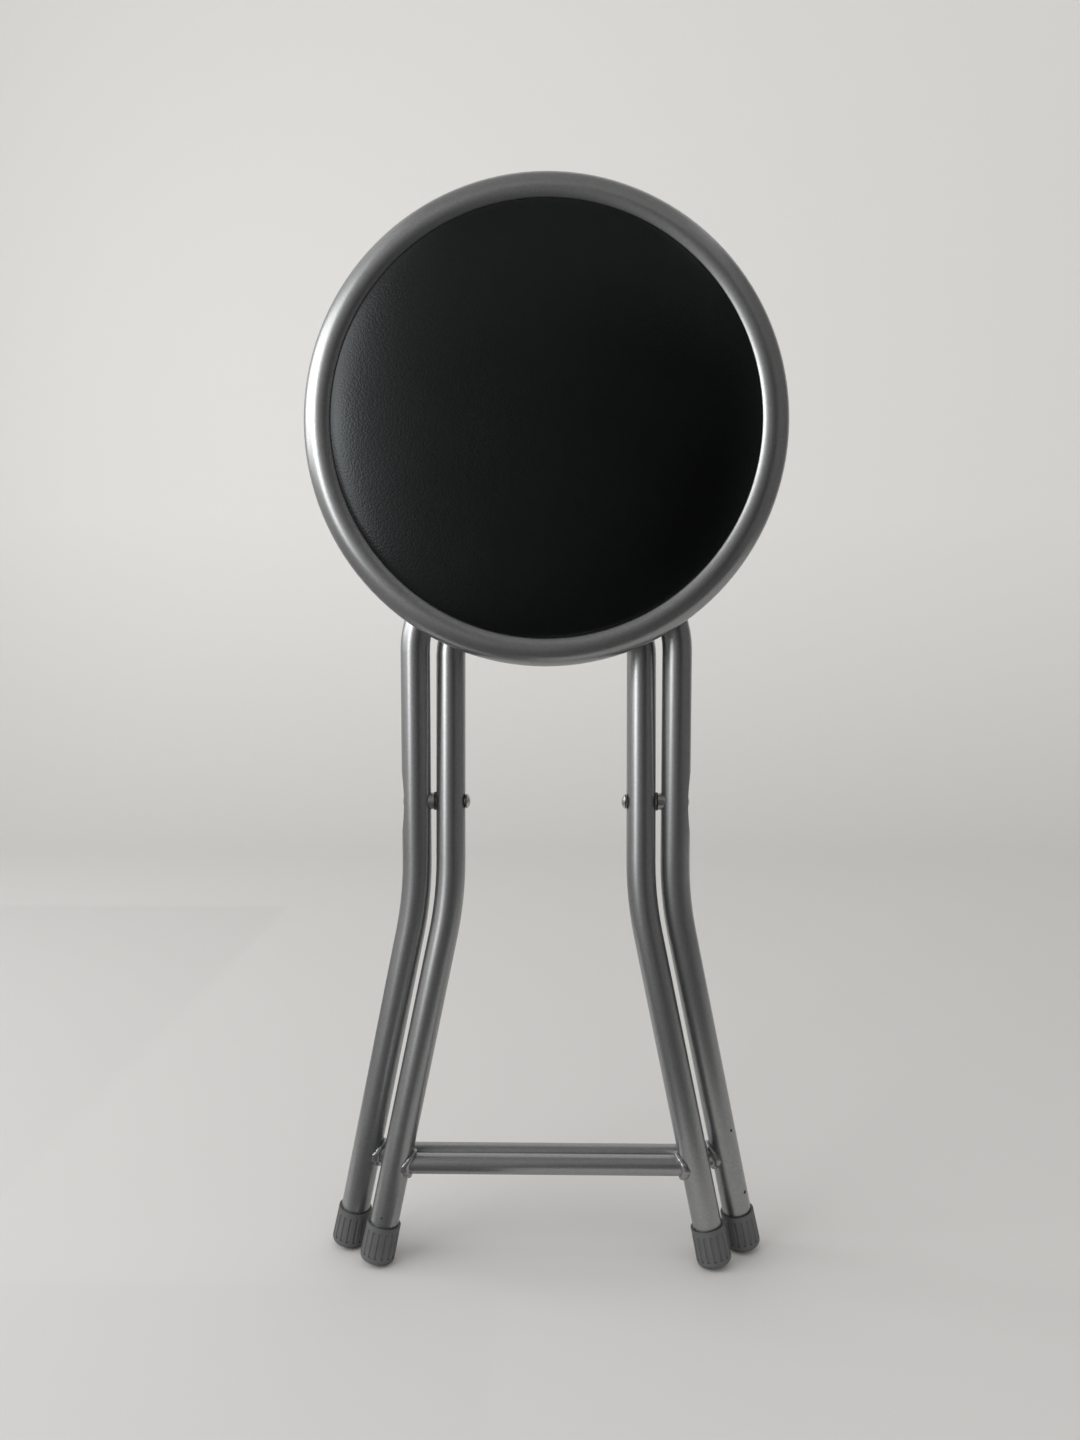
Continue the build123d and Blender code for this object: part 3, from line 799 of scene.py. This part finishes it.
def card(name, rows, left_grey, right_grey=None):
    """A dull card that only reflections meet, in one grey or from one to another across it."""
    finish, tree, shader, place = new_finish(name)
    shader.inputs["Base Color"].default_value = linear(left_grey)
    if right_grey:
        across = add_node(tree, "ShaderNodeSeparateXYZ", {0: place})
        share = add_node(tree, "ShaderNodeMapRange", {
            "Value": across.outputs["X"], "From Min": FADE_FROM, "From Max": FADE_TO,
        })
        tone = add_node(tree, "ShaderNodeMix", {
            "Factor": share.outputs["Result"], "A": linear(left_grey), "B": linear(right_grey),
        }, data_type="RGBA")
        tree.links.new(tone.outputs["Result"], shader.inputs["Base Color"])
    shader.inputs["Roughness"].default_value = 0.9
    sheet = stage_sheet(name, rows, finish)
    sheet.visible_camera = False
    sheet.visible_diffuse = False
    sheet.visible_shadow = False


def strip(low, high, *path):
    """Rows of a card that spans from one x to another along a path of y and z."""
    return [[(low, y, z), (high, y, z)] for y, z in path]


def floor_strip(low, high, front, back):
    """Rows of a card that lies on the floor."""
    return strip(low, high, (front, CARD_FLOOR), (back, CARD_FLOOR))


front_rows = strip(-0.75, 1.6, (CARD_FRONT, 0.0), (CARD_FRONT, FRONT_TOP))
ceiling_rows = strip(-1.2, CARD_RIGHT, (CARD_FRONT, FRONT_TOP), (CARD_FRONT, CEILING), (CARD_BACK, CEILING))
right_rows = [[(CARD_RIGHT, CARD_FRONT, z), (CARD_RIGHT, CARD_BACK, z)] for z in (0.0, RIGHT_TOP)]
card("front_card", front_rows, "#a8a8a8", "#121212")
card("ceiling_card", ceiling_rows, "#b2b2b2")
card("right_card", right_rows, "#787878")
card("floor_card", floor_strip(-0.4, CARD_RIGHT, CARD_FRONT, -0.25), "#4c4c4c")
card("left_foot_card", floor_strip(-0.4, -0.03, -0.25, -0.04), "#585858")
card("left_floor_card", floor_strip(-1.6, -0.4, CARD_FRONT, CARD_BACK), "#808080")
print("six grey cards stand round the stool")

# %% [markdown]
# ## Lamps and room
# A large soft lamp stands at the left, as a window would. It lights the seat and draws the bright band on
# its ring. A narrow one stands lower, nearer the front, and draws the thinner bright line on the legs.
# Only reflections meet the narrow one, so it doesn't light the paper. A pale room fills the shadows.

# %% Lamps and room


def soft_lamp(name, place, width, height, watts, target):
    """A flat soft lamp that faces a point."""
    data = bpy.data.lights.new(name, "AREA")
    data.shape = "RECTANGLE"
    data.size = width
    data.size_y = height
    data.energy = watts
    lamp = bpy.data.objects.new(name, data)
    lamp.location = place
    lamp.rotation_euler = (Vector(target) - Vector(place)).to_track_quat("-Z", "Y").to_euler()
    scene.collection.objects.link(lamp)
    return lamp


soft_lamp("window_lamp", (-1.45, -0.39, 1.08), 2.2, 0.95, 20.5, (0.0, 0.0, 0.9))
strip_lamp = soft_lamp("strip_lamp", (-1.19, -1.07, 0.56), 0.5, 0.83, 4.5, (0.0, 0.0, 0.46))
strip_lamp.visible_diffuse = False

world = bpy.data.worlds.new("pale_room")
world.use_nodes = True
background = world.node_tree.nodes["Background"]
background.inputs["Color"].default_value = linear("#e2e2e0")
background.inputs["Strength"].default_value = 1.0
scene.world = world
scene.view_settings.view_transform = "Standard"
print("two lamps and a pale room")
